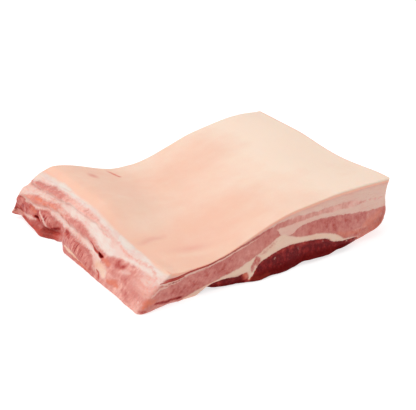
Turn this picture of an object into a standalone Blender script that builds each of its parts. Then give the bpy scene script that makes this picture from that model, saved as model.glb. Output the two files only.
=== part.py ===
"""Pork belly slab: one raw, skin-on piece of belly lying flesh side down.

The slab is a box grid of (across, back, down) shares. Four wall profiles, the skin's height and the
underside's height turn those shares into one uneven block of meat. Sizes are in millimetres here, and
the mesh is written in metres with its origin at the middle of the box's bottom.
"""

import bmesh
import bpy
import numpy as np

MM = 0.001
NAME = "pork_belly_slab"

# Grid of the solid: cells across, back and down.
CELLS_ACROSS = 40
CELLS_BACK = 30
CELLS_DOWN = 14

# Skin sheet, seen from above. The front edge is straight, and the sheet widens a little to the back.
SKIN_FRONT_LENGTH = 264.0
SKIN_LEFT_DRIFT = -3.0
SKIN_RIGHT_DRIFT = 11.4
SKIN_DEPTH_LEFT = 239.0
SKIN_DEPTH_RIGHT = 235.0

# Height of the skin: a thin end on the left, a thick end on the right, and a hump at the back left.
THIN_END_HEIGHT = 29.0
THICK_END_RISE = 27.0
CROWN_RISE = 4.5
HUMP_HEIGHT = 21.0
RIGHT_EDGE_DIP = 5.0

# Outline on the table: how far the flesh runs out past the skin at the left, and in under it at the right.
FOOT_LEFT = -35.0
FOOT_RIGHT = 242.0
FOOT_BACK = 240.0
NOTCH_DEPTH = 9.5
NOTCH_AT = 171.0
LIP_REACH = 9.0
LIP_LIFT = 5.0
LIP_BACK = 6.0
FOOT_ROUNDING = 3.0

# Bulges of the four cut sides.
LEFT_BULGE = 4.0
LEFT_BACK_BULGE = 6.5
RIGHT_BULGE = 14.0
LEAN_BULGE = 10.5
ROLL_STEP = 2.6
CREVICE_DEPTH = 6.0
CORNER_ROUNDING = 6.0

# Underside: shallow valleys where the ribs lay, between the flat strips that the slab rests on.
RIB_VALLEYS = 4
RIB_SPACING = 56.0
RIB_HALF_WIDTH = 15.0
RIB_SLANT = 0.12
RIB_DEPTH = 3.5
RIGHT_LIFT = 5.0

# The box's middle in the sizes above, which becomes the origin.
MIDDLE_X = 118.14
MIDDLE_Y = 118.64


def mix(start, end, share):
    """A straight blend from start to end."""
    return start + (end - start) * share


def rise(value, low, high):
    """A smooth step from 0 at low to 1 at high."""
    share = np.clip((value - low) / (high - low), 0.0, 1.0)
    return share * share * (3.0 - 2.0 * share)


def bell(value, middle, half_width):
    """A smooth bump of height 1 that ends half_width away from its middle."""
    share = np.clip(np.abs((value - middle) / half_width), 0.0, 1.0)
    return (1.0 - share * share) ** 2


def skin_height(x, y):
    """Height of the skin's outer face."""
    front = THICK_END_RISE * rise(x, 35, 150) + CROWN_RISE * rise(x, 130, 210) - rise(x, 230, 264)
    back = 1.0 + 17.0 * rise(x, 103, 186) + 10.5 * rise(x, 150, 245) - 2.0 * rise(x, 250, 276)
    hump = HUMP_HEIGHT * rise(y, 58, 142) * (1.0 - rise(x, 5, 90))
    curl = 3.5 * rise(y, 58, 142) * (1.0 - rise(x, -6, 10))
    edge = 2.0 * (1.0 - rise(x, -2, 14)) * (1.0 - rise(y, 20, 60))
    dip = RIGHT_EDGE_DIP * rise(x, 190, 272) * bell(y, 86, 78)
    return THIN_END_HEIGHT + mix(front, back, y / 235.0) + hump - curl + edge - dip


def left_foot(y):
    """Where the left side meets the table: a notch splits the flesh, and a lip runs out at the back."""
    notch = NOTCH_DEPTH * bell(y, NOTCH_AT, np.where(y < NOTCH_AT, 34, 17))
    swell = 1.5 * bell(y, 208, 26)
    return FOOT_LEFT + 3.5 * rise(y, 0, 130) + notch - swell - LIP_REACH * rise(y, 226, 246)


def front_foot(x):
    """Where the front meets the table: drawn back at the thin end, bulging where the lower lean is."""
    lean = LEAN_BULGE * rise(x, 52, 92) - 3.0 * bell(x, 134, 22) - 6.8 * rise(x, 188, 215)
    return 4.0 * rise(x, -35, 20) - 2.2 * rise(x, 10, 60) - lean


def back_foot(x):
    """Where the back meets the table."""
    return FOOT_BACK + LIP_BACK * (1.0 - rise(x, -38, 12)) - 4.0 * bell(x, 90, 60)


def left_relief(y, down):
    """How far the layers of the left side stand out, from the rolls to the crevice under them."""
    bulge = LEFT_BULGE + LEFT_BACK_BULGE * rise(y, 186, 236)
    roll_edge = 0.22 + 0.09 * rise(y, 90, 240)
    roll = ROLL_STEP * rise(down, 0.04, roll_edge - 0.03) * (1.0 - rise(down, roll_edge, roll_edge + 0.06))
    strip = 0.6 * ROLL_STEP * bell(down, 0.5, 0.13)
    crevice = CREVICE_DEPTH * bell(y, 184, 26) * bell(down, 0.84, 0.13)
    fade = rise(y, 60, 100)
    return bulge * np.sin(np.pi * down**0.75) + fade * (roll + strip) - crevice


def right_relief(down):
    """The thick lean on the right side is full above and rolls in under itself."""
    return RIGHT_BULGE * rise(down, 0.1, 0.75) * (1.0 - down**12)


def foot_swell(height, down):
    """How far a side stands out past its foot at this height, so that it curls in under itself."""
    left = np.clip(1.0 - height / FOOT_ROUNDING, 0.0, 1.0)
    return FOOT_ROUNDING * down * np.sqrt(1.0 - left * left)


def underside_height(x, y):
    """Height of the underside: rib valleys between flat strips, and a right end that lifts off the table."""
    valleys = np.zeros_like(x)
    for rib in range(RIB_VALLEYS):
        middle = MIDDLE_X + RIB_SPACING * (rib - 0.5 * (RIB_VALLEYS - 1)) + RIB_SLANT * (y - MIDDLE_Y)
        valleys = np.maximum(valleys, bell(x, middle, RIB_HALF_WIDTH))
    inside = rise(x, -22, 8) * (1.0 - rise(x, 196, 222)) * rise(y, 18, 62) * (1.0 - rise(y, 180, 222))
    lip = LIP_LIFT * rise(y - 0.6 * x, 222, 266) * (1.0 - rise(x, -34, 4))
    return RIB_DEPTH * valleys * inside + RIGHT_LIFT * rise(x, 200, 244) ** 2 + lip


def place(across, back, down):
    """Points of the slab, in millimetres, for shares from left to right, front to back and top to bottom."""
    skin_y = mix(SKIN_DEPTH_LEFT, SKIN_DEPTH_RIGHT, across) * back
    skin_left = SKIN_LEFT_DRIFT * back
    skin_right = SKIN_FRONT_LENGTH + SKIN_RIGHT_DRIFT * back
    nominal_y = FOOT_BACK * back
    height = skin_height(mix(skin_left, skin_right, across), skin_y)
    swell = foot_swell(height * (1.0 - down), down)

    left = mix(skin_left, left_foot(nominal_y), down) - left_relief(nominal_y, down)
    right = mix(skin_right, FOOT_RIGHT + 8.0 * back, down) + right_relief(down)
    foot_x = mix(left_foot(nominal_y), FOOT_RIGHT, across)
    front = front_foot(foot_x) * down**2
    rear = mix(mix(SKIN_DEPTH_LEFT, SKIN_DEPTH_RIGHT, across), back_foot(foot_x), down**2)

    x = mix(left - swell, right + swell, across)
    y = mix(front - swell, rear + swell, back)
    x, y = round_corners(x, y, left - swell, right + swell, front - swell, rear + swell, across, back, down)
    z = mix(height, underside_height(x, y), down)
    return np.stack([x, y, z], axis=-1)


def round_corners(x, y, left, right, front, rear, across, back, down):
    """The four upright corners are rounded, more towards the table, and only on the sides."""
    radius = mix(1.0, CORNER_ROUNDING, rise(down, 0.05, 0.6))
    for side_x, sign_x, at_x in ((left, 1.0, across < 1e-6), (right, -1.0, across > 1 - 1e-6)):
        for side_y, sign_y, at_y in ((front, 1.0, back < 1e-6), (rear, -1.0, back > 1 - 1e-6)):
            from_x = np.abs(x - side_x)
            from_y = np.abs(y - side_y)
            for wall, gap in ((at_y, from_x), (at_x, from_y)):
                near = wall & (gap < radius)
                if wall is at_x:
                    near = near & ~at_y
                turn = np.radians(45.0) * (1.0 + np.where(near, gap / radius, 0.0))
                along = radius * (1.0 - np.cos(turn)) - gap
                inward = radius * (1.0 - np.sin(turn))
                x_step, y_step = (along, inward) if wall is at_y else (inward, along)
                x = np.where(near, x + sign_x * x_step, x)
                y = np.where(near, y + sign_y * y_step, y)
    return x, y


def cut_along(grid, axis, cells):
    """Divides every edge that runs along this axis into equal cells."""
    others = [other for other in range(3) if other != axis]
    chosen = []
    for edge in grid.edges:
        start, end = edge.verts[0].co, edge.verts[1].co
        if all(abs(start[other] - end[other]) < 1e-6 for other in others):
            chosen.append(edge)
    bmesh.ops.subdivide_edges(grid, edges=chosen, cuts=cells - 1, use_grid_fill=True)


def slab_mesh():
    """A cube divided into a grid, with each point moved to its place on the slab."""
    grid = bmesh.new()
    bmesh.ops.create_cube(grid, size=1.0)
    cut_along(grid, 0, CELLS_ACROSS)
    cut_along(grid, 1, CELLS_BACK)
    cut_along(grid, 2, CELLS_DOWN)
    shares = np.array([vert.co[:] for vert in grid.verts]) + 0.5
    points = place(shares[:, 0], shares[:, 1], 1.0 - shares[:, 2])
    points = (points - np.array([MIDDLE_X, MIDDLE_Y, 0.0])) * MM
    for vert, point in zip(grid.verts, points):
        vert.co = point
    bmesh.ops.recalc_face_normals(grid, faces=grid.faces)
    mesh = bpy.data.meshes.new("slab")
    grid.to_mesh(mesh)
    grid.free()
    return mesh


def flesh_material():
    """The raw flesh and fat of the cut sides, as one even pink."""
    material = bpy.data.materials.new("raw_belly")
    material.use_nodes = True
    shader = material.node_tree.nodes["Principled BSDF"]
    shader.inputs["Base Color"].default_value = (0.78, 0.47, 0.38, 1.0)
    shader.inputs["Roughness"].default_value = 0.45
    return material


def main():
    for old in list(bpy.data.objects):
        bpy.data.objects.remove(old, do_unlink=True)
    parts = bpy.data.collections.new(NAME)
    bpy.context.scene.collection.children.link(parts)
    slab = bpy.data.objects.new("slab", slab_mesh())
    slab.data.materials.append(flesh_material())
    parts.objects.link(slab)


main()
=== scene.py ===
"""Pork belly slab: the looks of one raw, skin-on piece of belly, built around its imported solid.

The slab is one closed surface over the shares (across, back, down) of a box, refined with the layers
of its four cut sides. It is kept as two closed pieces, the rind and the flesh below it. Each point
carries how far it lies below each layer's edge, and one material turns that into skin, fat and lean.
Sizes are in millimetres until the meshes are made.
"""

import itertools
import math

import bpy
import numpy as np
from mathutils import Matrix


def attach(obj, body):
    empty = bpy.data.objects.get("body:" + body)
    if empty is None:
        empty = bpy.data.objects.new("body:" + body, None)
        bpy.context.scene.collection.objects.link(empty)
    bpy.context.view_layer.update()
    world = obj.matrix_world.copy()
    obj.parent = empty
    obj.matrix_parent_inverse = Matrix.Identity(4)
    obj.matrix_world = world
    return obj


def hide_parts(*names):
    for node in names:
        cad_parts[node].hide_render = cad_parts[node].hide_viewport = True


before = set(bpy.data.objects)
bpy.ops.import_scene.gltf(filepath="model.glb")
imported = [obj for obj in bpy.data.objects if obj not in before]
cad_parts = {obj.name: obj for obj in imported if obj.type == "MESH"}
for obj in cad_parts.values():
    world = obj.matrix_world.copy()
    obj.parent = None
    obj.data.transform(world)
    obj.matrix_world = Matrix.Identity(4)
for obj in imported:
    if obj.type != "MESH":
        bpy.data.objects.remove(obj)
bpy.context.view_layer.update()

MM = 0.001

# The middle of the slab's box in the sizes below, which becomes the origin.
MIDDLE_X = 118.14
MIDDLE_Y = 118.64

# Cells of the fine surface: across, back, down the rind's edge, and down the flesh.
ACROSS = 280
BACK = 240
RIND_ROWS = 3
FLESH_ROWS = 62
RIND_DEPTH = 2.4
# Fine cells in one cell of the underside, and in one of the hidden sheets between rind and flesh.
UNDER_STEP = 2
HIDDEN_STEP = 20

# Runs along the sides, used for the layers and the meat's grain.
FRONT_RUN = 277.0
SIDE_RUN = 240.0

# The skin: its depth at the left and right ends, its left edge's drift to the back, and its right edge's
# place and drift, in the solid and on the grid, whose rim is rounded off later.
SKIN_DEPTHS = (239.0, 235.0)
SKIN_LEFT_DRIFT = -3.0
SOLID_RIGHT = (264.0, 11.4)
GRID_RIGHT = (265.2, 12.2)
# Where the flesh meets the table at the right and at the back.
FOOT_RIGHT = 242.0
FOOT_BACK = 240.0


# Helpers for shapes.


def mix(start, end, share):
    """A straight blend from start to end."""
    return start + (end - start) * share


def rise(value, low, high):
    """A smooth step from 0 at low to 1 at high."""
    share = np.clip((value - low) / (high - low), 0.0, 1.0)
    return share * share * (3.0 - 2.0 * share)


def fall(value, low, high):
    """A smooth step from 1 at low to 0 at high."""
    return 1.0 - rise(value, low, high)


def bell(value, middle, half_width):
    """A smooth bump of height 1 that ends half_width away from its middle."""
    share = np.clip(np.abs((value - middle) / half_width), 0.0, 1.0)
    return (1.0 - share * share) ** 2


def curve(at, stations):
    """A smooth curve through (place, value) stations that never swings past them."""
    places, values = np.array(sorted(stations), float).T
    gaps = np.diff(places)
    slopes = np.diff(values) / gaps
    same = slopes[:-1] * slopes[1:] > 0
    total = np.where(same, slopes[:-1] + slopes[1:], 1.0)
    inner = np.where(same, 2.0 * slopes[:-1] * slopes[1:] / total, 0.0)
    ends = np.concatenate([[slopes[0]], inner, [slopes[-1]]])
    at = np.clip(at, places[0], places[-1])
    index = np.clip(np.searchsorted(places, at) - 1, 0, len(gaps) - 1)
    gap = gaps[index]
    share = (at - places[index]) / gap
    start, end = values[index], values[index + 1]
    bend = (share - 1.0) * (ends[index] * gap * (1.0 - share) - ends[index + 1] * gap * share)
    return mix(start, end, share * share * (3.0 - 2.0 * share)) - share * bend


def lumps(points, size, seed):
    """Smooth noise from -1 to 1 whose lumps are about this size."""
    scaled = points / size
    cell = np.floor(scaled).astype(np.int64)
    share = scaled - cell
    share = share * share * (3.0 - 2.0 * share)
    total = np.zeros(points.shape[:-1])
    for corner in itertools.product((0, 1), repeat=3):
        key = (cell + corner) @ np.array([73856093, 19349663, 83492791]) + seed * 2654435761
        key = (key ^ (key >> 15)) * 2246822519 & 0xFFFFFFFF
        key = (key ^ (key >> 13)) * 3266489917 & 0xFFFFFFFF
        value = (key ^ (key >> 16)) / 0x7FFFFFFF - 1.0
        total += value * np.prod(np.where(corner, share, 1.0 - share), axis=-1)
    return total


def to_segment(x, y, start, end):
    """The share along a segment of the place nearest to each point, and the gaps to it along x and y."""
    step_x, step_y = end[0] - start[0], end[1] - start[1]
    from_x, from_y = x - start[0], y - start[1]
    along = np.clip((from_x * step_x + from_y * step_y) / (step_x**2 + step_y**2), 0, 1)
    return along, from_x - along * step_x, from_y - along * step_y


# The largest and the smallest of several values at each point.
most = np.maximum.reduce
least = np.minimum.reduce


# The slab's form, as in its solid.


def skin_height(x, y):
    front = 27.0 * rise(x, 35, 150) + 4.5 * rise(x, 130, 210) - rise(x, 230, 264)
    back = 1.0 + 17.0 * rise(x, 103, 186) + 10.5 * rise(x, 150, 245) - 2.0 * rise(x, 250, 276)
    hump = 21.0 * rise(y, 58, 142) * fall(x, 5, 90)
    curl = 3.5 * rise(y, 58, 142) * fall(x, -6, 10)
    edge = 2.0 * fall(x, -2, 14) * fall(y, 20, 60)
    dip = 5.0 * rise(x, 190, 272) * bell(y, 86, 78)
    return 29.0 + mix(front, back, y / SKIN_DEPTHS[1]) + hump - curl + edge - dip


def left_foot(y):
    notch = 9.5 * bell(y, 171.0, np.where(y < 171.0, 34, 17))
    swell = 1.5 * bell(y, 208, 26)
    return -35.0 + 3.5 * rise(y, 0, 130) + notch - swell - 9.0 * rise(y, 226, 246)


def front_foot(x):
    lean = 10.5 * rise(x, 52, 92) - 3.0 * bell(x, 134, 22) - 6.8 * rise(x, 188, 215)
    return 4.0 * rise(x, -35, 20) - 2.2 * rise(x, 10, 60) - lean


def back_foot(x):
    return FOOT_BACK + 6.0 * fall(x, -38, 12) - 4.0 * bell(x, 90, 60)


def left_bulge(y, down):
    bulge = 4.0 + 6.5 * rise(y, 186, 236)
    crevice = 4.0 * bell(y, 184, 26) * bell(down, 0.84, 0.13)
    return bulge * np.sin(np.pi * down**0.75) - crevice


def foot_swell(height, down):
    left = np.clip(1.0 - height / 3.0, 0.0, 1.0)
    return 3.0 * down * np.sqrt(1.0 - left * left)


def rib_valleys(x, y):
    """Shallow valleys where the ribs lay, as shares of their full depth."""
    valleys = np.zeros_like(x)
    for rib in range(4):
        middle = MIDDLE_X + 56.0 * (rib - 1.5) + 0.12 * (y - MIDDLE_Y)
        valleys = np.maximum(valleys, bell(x, middle, 15.0))
    inside = rise(x, -22, 8) * fall(x, 196, 222) * rise(y, 18, 62) * fall(y, 180, 222)
    return valleys * inside


def underside_height(x, y):
    lip = 5.0 * rise(y - 0.6 * x, 222, 266) * fall(x, -34, 4)
    return 3.5 * rib_valleys(x, y) + 5.0 * rise(x, 200, 244) ** 2 + lip


def place(across, back, down):
    """Points of the plain form for shares from left to right, front to back and top to bottom."""
    skin_depth = mix(*SKIN_DEPTHS, across)
    skin_left = SKIN_LEFT_DRIFT * back
    skin_right = GRID_RIGHT[0] + GRID_RIGHT[1] * back
    nominal_y = FOOT_BACK * back
    height = skin_height(mix(skin_left, skin_right, across), skin_depth * back)
    swell = foot_swell(height * (1.0 - down), down)

    left = mix(skin_left, left_foot(nominal_y), down) - left_bulge(nominal_y, down) - swell
    right_bulge = 14.0 * rise(down, 0.1, 0.75) * (1.0 - down**12)
    right = mix(skin_right, FOOT_RIGHT + 8.0 * back, down) + right_bulge + swell
    foot_x = mix(left_foot(nominal_y), FOOT_RIGHT, across)
    front = front_foot(foot_x) * down**2 - swell
    rear = mix(skin_depth, back_foot(foot_x), down**2) + swell

    x, y = mix(left, right, across), mix(front, rear, back)
    x, y = round_corners(x, y, left, right, front, rear, across, back, down)
    z = mix(height, underside_height(x, y), down)
    return np.stack([x, y, z], axis=-1)


def round_corners(x, y, left, right, front, rear, across, back, down):
    """The four upright corners are rounded, more towards the table, and only on the sides."""
    radius = mix(1.0, 6.0, rise(down, 0.05, 0.6))
    for side_x, sign_x, at_x in ((left, 1.0, across < 1e-6), (right, -1.0, across > 1 - 1e-6)):
        for side_y, sign_y, at_y in ((front, 1.0, back < 1e-6), (rear, -1.0, back > 1 - 1e-6)):
            from_x = np.abs(x - side_x)
            from_y = np.abs(y - side_y)
            for wall, gap in ((at_y, from_x), (at_x, from_y)):
                near = wall & (gap < radius)
                if wall is at_x:
                    near = near & ~at_y
                turn = np.radians(45.0) * (1.0 + np.where(near, gap / radius, 0.0))
                along = radius * (1.0 - np.cos(turn)) - gap
                inward = radius * (1.0 - np.sin(turn))
                x_step, y_step = (along, inward) if wall is at_y else (inward, along)
                x = np.where(near, x + sign_x * x_step, x)
                y = np.where(near, y + sign_y * y_step, y)
    return x, y


# Lower edges of the layers down each side: the rind, the fat cap, the streak, the second fat, the main
# lean and the third fat. Below them lies the lower lean. Each station is (share along the side, share
# down) in thousandths. Front and back run left to right, the other two front to back.
FRONT_LAYERS = (
    ((0, 30), (30, 60), (55, 75), (88, 35), (200, 35), (350, 55), (660, 56), (820, 62), (1000, 70)),
    ((0, 120), (50, 110), (88, 50), (144, 40), (208, 42), (280, 50), (330, 70), (400, 90), (460, 100),
     (520, 120), (580, 140), (670, 175), (745, 195), (815, 210), (870, 260), (885, 310), (960, 345),
     (1000, 360)),
    ((0, 200), (66, 200), (103, 100), (162, 95), (227, 100), (290, 115), (360, 150), (420, 170),
     (480, 205), (530, 230), (590, 245), (660, 245), (720, 280), (790, 305), (850, 325), (885, 300),
     (960, 330), (1000, 350)),
    ((0, 240), (78, 300), (114, 170), (180, 150), (250, 160), (310, 170), (360, 180), (393, 178),
     (410, 150), (447, 155), (467, 170), (484, 220), (498, 300), (510, 360), (550, 420), (590, 340),
     (645, 325), (700, 340), (750, 370), (816, 420), (865, 470), (917, 530), (1000, 570)),
    ((0, 1100), (80, 1050), (140, 1010), (165, 930), (190, 870), (230, 780), (264, 745), (284, 710),
     (318, 685), (339, 675), (355, 650), (371, 610), (386, 570), (404, 530), (435, 475), (465, 425),
     (485, 380), (510, 345), (550, 435), (600, 520), (670, 560), (720, 630), (745, 670), (775, 750),
     (790, 790), (830, 840), (870, 900), (900, 980), (940, 1080), (1000, 1120)),
    ((0, 1150), (150, 1100), (210, 1020), (250, 900), (270, 810), (315, 800), (358, 830), (388, 800),
     (402, 880), (411, 950), (419, 780), (430, 690), (450, 640), (487, 610), (537, 585), (575, 605),
     (620, 630), (671, 655), (709, 695), (735, 760), (780, 820), (820, 850), (850, 875), (890, 950),
     (930, 1060), (1000, 1160)),
)  # fmt: skip
RIGHT_LAYERS = (
    ((0, 70), (1000, 60)),
    ((0, 360), (80, 330), (300, 280), (600, 240), (850, 270), (1000, 300)),
    ((0, 350), (80, 340), (300, 330), (600, 330), (850, 340), (1000, 360)),
    ((0, 570), (150, 530), (350, 470), (600, 440), (800, 500), (1000, 520)),
    ((0, 1120), (120, 1020), (300, 850), (600, 800), (850, 780), (1000, 840)),
    ((0, 1160), (140, 1100), (300, 940), (600, 870), (850, 880), (1000, 930)),
)  # fmt: skip
BACK_LAYERS = (
    ((0, 20), (150, 50), (1000, 60)),
    ((0, 150), (100, 120), (300, 160), (500, 130), (700, 170), (850, 230), (1000, 300)),
    ((0, 200), (100, 220), (300, 290), (500, 250), (700, 260), (850, 310), (1000, 360)),
    ((0, 470), (120, 360), (300, 410), (500, 370), (700, 340), (850, 410), (1000, 520)),
    ((0, 470), (60, 500), (150, 600), (300, 660), (450, 700), (600, 600), (750, 580), (900, 720),
     (1000, 840)),
    ((0, 500), (120, 680), (300, 780), (450, 800), (600, 680), (750, 660), (900, 820), (1000, 930)),
)  # fmt: skip
LEFT_LAYERS = (
    ((0, 30), (1000, 20)),
    ((0, 120), (100, 120), (220, 110), (350, 105), (410, 95), (500, 90), (560, 88), (620, 88), (660, 92),
     (705, 108), (730, 105), (765, 90), (810, 85), (850, 80), (885, 105), (920, 118), (950, 120),
     (985, 150), (1000, 150)),
    ((0, 200), (40, 140), (220, 112), (350, 110), (410, 120), (460, 144), (500, 160), (565, 175),
     (620, 195), (684, 190), (740, 212), (800, 214), (900, 197), (1000, 200)),
    ((0, 240), (30, 210), (80, 190), (160, 200), (220, 200), (270, 230), (300, 280), (336, 360),
     (380, 400), (430, 360), (480, 345), (514, 330), (576, 315), (670, 370), (730, 350), (770, 290),
     (830, 330), (890, 320), (940, 375), (1000, 470)),
    ((0, 1100), (320, 1100), (337, 950), (350, 700), (360, 520), (380, 470), (430, 455), (480, 457),
     (530, 467), (600, 474), (660, 500), (720, 480), (760, 420), (800, 427), (840, 450), (890, 480),
     (940, 460), (1000, 470)),
    ((0, 1150), (320, 1100), (337, 940), (350, 690), (357, 600), (370, 600), (410, 600), (466, 580),
     (510, 578), (570, 573), (628, 570), (660, 610), (677, 630), (720, 580), (742, 570), (765, 530),
     (805, 476), (840, 530), (870, 550), (900, 510), (940, 510), (970, 470), (1000, 500)),
)  # fmt: skip

# Each side's layers, and the runs at its start and to its end. The later side counts where two meet.
SIDE_LAYERS = (
    (FRONT_LAYERS, 0.0, FRONT_RUN),
    (RIGHT_LAYERS, FRONT_RUN, SIDE_RUN),
    (LEFT_LAYERS, 0.0, -SIDE_RUN),
    (BACK_LAYERS, -SIDE_RUN, -FRONT_RUN),
)
LAYER_COUNT = 6
SKIN_EDGE, STREAK_TOP, STREAK_FOOT, LEAN_TOP, LEAN_FOOT, LOWER_TOP = range(LAYER_COUNT)


def layer_edge(index, run):
    """A layer edge's share of the depth, for runs from -517 to 517 with 0 at the front left corner."""
    stations = {}
    for layers, start, reach in SIDE_LAYERS:
        for along, down in layers[index]:
            stations[round(start + reach * (along / 1000), 3)] = down / 1000
    return curve(run, stations.items())


# How far the rind reaches down the left side, in millimetres, against the run back. Below zero, fat
# shows on the top.
RIND_REACH = (
    (0, 1.5), (9, 2), (25, 1.3), (45, -2.2), (62, -3.7), (88, -1.6), (106, 0.3), (135, 0.8), (152, 0.8),
    (166, 0.8), (176, 0), (185, -1.4), (196, -2), (206, -1.2), (218, -0.6), (230, -0.3), (240, 0),
)  # fmt: skip


# The ring of columns round the slab, and the rows down it.


def ring_shares():
    """Each column's share across and back, starting at the front left and going right."""
    across = np.arange(ACROSS) / ACROSS
    back = np.arange(BACK) / BACK
    return (
        np.concatenate([across, np.ones(BACK), 1 - across, np.zeros(BACK)]),
        np.concatenate([np.zeros(ACROSS), back, np.ones(ACROSS), 1 - back]),
    )


def column_runs():
    """Each column's run round the slab, and one more for the first column again."""
    steps = np.repeat([FRONT_RUN / ACROSS, SIDE_RUN / BACK] * 2, [ACROSS, BACK] * 2)
    return np.concatenate([[0.0], np.cumsum(steps)])


COLUMNS = 2 * (ACROSS + BACK)
TURN = FRONT_RUN + SIDE_RUN
ring_across, ring_back = ring_shares()
runs = column_runs()
signed_run = np.where(runs[:-1] > TURN, runs[:-1] - 2 * TURN, runs[:-1])


def wall_points(down):
    """The plain form's walls for a grid of shares down, one row of columns after another."""
    return place(np.broadcast_to(ring_across, down.shape), np.broadcast_to(ring_back, down.shape), down)


def wall_lengths():
    """Each column's length from the top edge to the table."""
    points = wall_points(np.repeat(np.linspace(0, 1, 33)[:, None], COLUMNS, axis=1))
    return np.linalg.norm(np.diff(points, axis=0), axis=-1).sum(axis=0)


length = wall_lengths()
rim_down = RIND_DEPTH / length
rind_down = rim_down * (np.arange(RIND_ROWS)[:, None] / RIND_ROWS)
flesh_down = rim_down + (1 - rim_down) * (np.arange(FLESH_ROWS + 1)[:, None] / FLESH_ROWS)
down = np.concatenate([rind_down, flesh_down])
ROWS = len(down) - 1
depth = down * length
wall = wall_points(down)
run = np.broadcast_to(signed_run, down.shape)
on_left = np.where(run < 0, rise(run, -SIDE_RUN - 3, -SIDE_RUN + 3), fall(run, 0, 6))
on_front = rise(run, -2, 4) * fall(run, FRONT_RUN - 3, FRONT_RUN + 3)
left_y = np.clip(-run, 0, SIDE_RUN)
front_x = np.clip(run, 0, FRONT_RUN)


def below_edges():
    """How far each wall point lies below each layer's edge."""
    below = [(down - layer_edge(index, signed_run)) * length for index in range(LAYER_COUNT)]
    below[SKIN_EDGE] = mix(below[SKIN_EDGE], depth - curve(left_y, RIND_REACH), on_left)
    for index in range(STREAK_TOP, LAYER_COUNT):
        sway = 0.8 * lumps(wall, 9, 20 + index) + 0.5 * lumps(wall, 3.6, 30 + index)
        below[index] = below[index] + sway * mix(1.1, 0.55, on_front)
    return below


below = below_edges()


def within(upper, lower):
    """The share of the way down from one layer edge to the next."""
    thick = np.maximum(below[upper] - below[lower], 0.3)
    return below[upper] / thick


def band(upper, lower, enter, leave):
    """1 from one layer edge down to another, with the start and end of each fade in millimetres."""
    return rise(below[upper], *enter) * fall(below[lower], *leave)


# Relief of the cut sides.


def column_length(at):
    """The length of the column nearest to this run."""
    return length[np.argmin(np.abs(signed_run - at))]


def oval(across, at, share, half_across, half_depth, slant=0.0):
    """0 at the middle of an oval on the left side or the front, 1 at its edge."""
    middle = share * column_length(-at if across is left_y else at)
    offset = depth - middle - slant * (across - at)
    return np.sqrt(((across - at) / half_across) ** 2 + (offset / half_depth) ** 2)


def dome(radius):
    return np.sqrt(np.clip(1.0 - radius**4, 0.0, 1.0))


def path_distance(*shares):
    """How far each point of the left side lies from a path of (share back, share down) stations."""
    points = [(SIDE_RUN * back, down * column_length(-SIDE_RUN * back)) for back, down in shares]
    gaps = [to_segment(left_y, depth, *ends)[1:] for ends in zip(points, points[1:])]
    return least([np.hypot(*gap) for gap in gaps])


blob_front = oval(left_y, 122, 0.725, 37, 7.4)
blob_middle = oval(left_y, 188, 0.65, 14.5, 7, slant=-0.3)
blob_back = oval(left_y, 221, 0.66, 18, 8.4, slant=-0.25)
crevice = path_distance(
    (0.85, 0.66), (0.838, 0.69), (0.809, 0.76), (0.785, 0.85), (0.752, 0.885), (0.72, 0.875), (0.69, 0.83)
)
hole = path_distance((0.415, 0.465), (0.395, 0.468), (0.372, 0.48))
knob_slit = path_distance((0.34, 0.74), (0.335, 0.79), (0.31, 0.86))
red_patch = oval(left_y, 68, 0.4, 15, 5.5)
orange_spot = oval(left_y, 52, 0.73, 4, 3.4)
knob = oval(left_y, 78, 0.66, 9, 6.5)
streak_share = within(STREAK_TOP, STREAK_FOOT)
lean_share = within(LEAN_TOP, LEAN_FOOT)
ROLL = ((78, 0), (95, 0.8), (130, 1.6), (165, 2.2), (185, 3.4), (225, 3.2), (240, 1.6))
STRIP = ((84, 0), (98, 1.6), (200, 2.0), (225, 1.4), (240, 0.6))
left_roll = on_left * curve(left_y, ROLL)
left_strip = on_left * curve(left_y, STRIP)


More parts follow.
